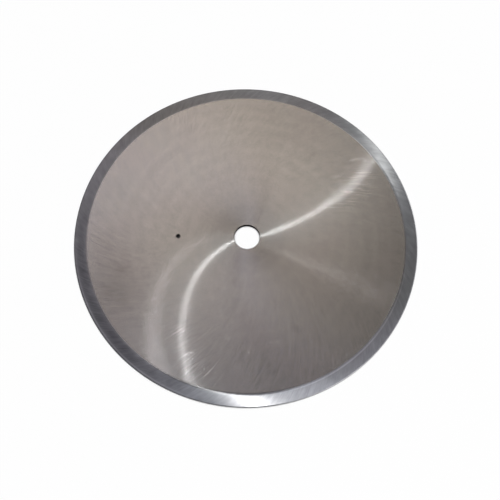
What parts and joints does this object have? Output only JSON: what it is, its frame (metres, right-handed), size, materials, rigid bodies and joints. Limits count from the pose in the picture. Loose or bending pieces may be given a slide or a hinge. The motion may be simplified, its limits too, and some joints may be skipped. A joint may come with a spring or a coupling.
{
  "type": "cut-off saw blade",
  "caption": "Toothless round cut-off blade: a flat ground steel disc with a plain centre bore, a small pin hole and a rim bevelled to an edge on both sides.",
  "frame": {"origin": "middle of the lower face, on the axis of the bore", "axes": "+Z along the bore, out of the upper face; the pin hole lies towards -X"},
  "size_m": [0.4, 0.4, 0.004],
  "materials": {
    "ground_steel": "surface-ground faces with fine curved grinding lines, darker cross-ground bevel"
  },
  "bodies": {
    "root": {"saw_blade": "ground_steel"}
  },
  "joints": []
}
